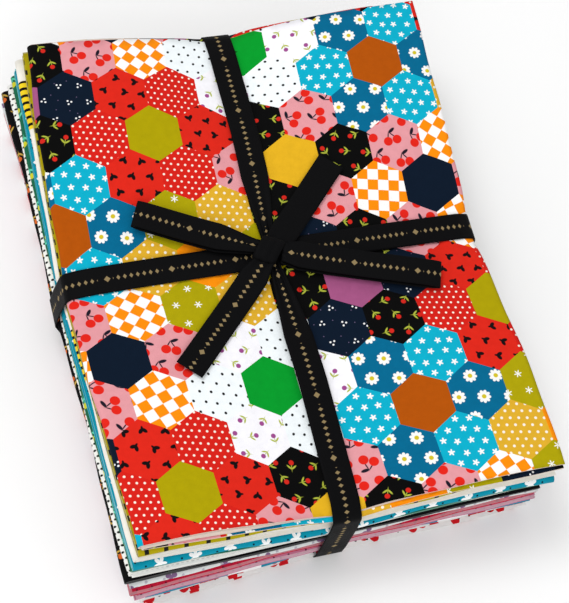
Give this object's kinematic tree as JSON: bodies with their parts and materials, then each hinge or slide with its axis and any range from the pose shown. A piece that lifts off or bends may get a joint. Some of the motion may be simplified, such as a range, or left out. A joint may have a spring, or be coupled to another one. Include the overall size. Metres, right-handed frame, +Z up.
{
  "type": "fat quarter bundle",
  "caption": "Stack of folded fat quarters of printed quilting cotton, tied both ways with a flat black ribbon in a bow.",
  "frame": {"origin": "middle of the bundle's footprint, on the surface it lies on", "axes": "+Y along the long sides, away from the front edge; +X along the short sides; +Z up through the stack"},
  "size_m": [0.2394, 0.2968, 0.0725],
  "materials": {
    "cotton_patchwork": "matt plain weave, printed with hexagon patchwork",
    "cotton_olive": "matt plain weave, printed",
    "cotton_cream": "matt plain weave, printed",
    "cotton_grey": "matt plain weave, printed",
    "cotton_teal_star": "matt plain weave, printed",
    "cotton_green": "matt plain weave, printed",
    "cotton_black": "matt plain weave, printed",
    "cotton_dash": "matt plain weave, printed",
    "cotton_crimson": "matt plain weave, printed",
    "cotton_mauve": "matt plain weave, printed",
    "cotton_teal": "matt plain weave, printed",
    "cotton_red_dot": "matt plain weave, printed",
    "ribbon": "flat woven ribbon, low sheen"
  },
  "bodies": {
    "root": {"fq_01": "cotton_patchwork", "fq_02": "cotton_olive", "fq_03": "cotton_cream", "fq_04": "cotton_teal_star", "fq_05": "cotton_green", "fq_06": "cotton_dash", "fq_07": "cotton_black", "fq_08": "cotton_grey", "fq_09": "cotton_crimson", "fq_10": "cotton_mauve", "fq_11": "cotton_teal", "fq_12": "cotton_red_dot", "tie_band": "ribbon", "tie_knot": "ribbon", "tie_loop_left": "ribbon", "tie_loop_right": "ribbon", "tie_tail_upper": "ribbon", "tie_tail_lower": "ribbon"}
  },
  "joints": []
}
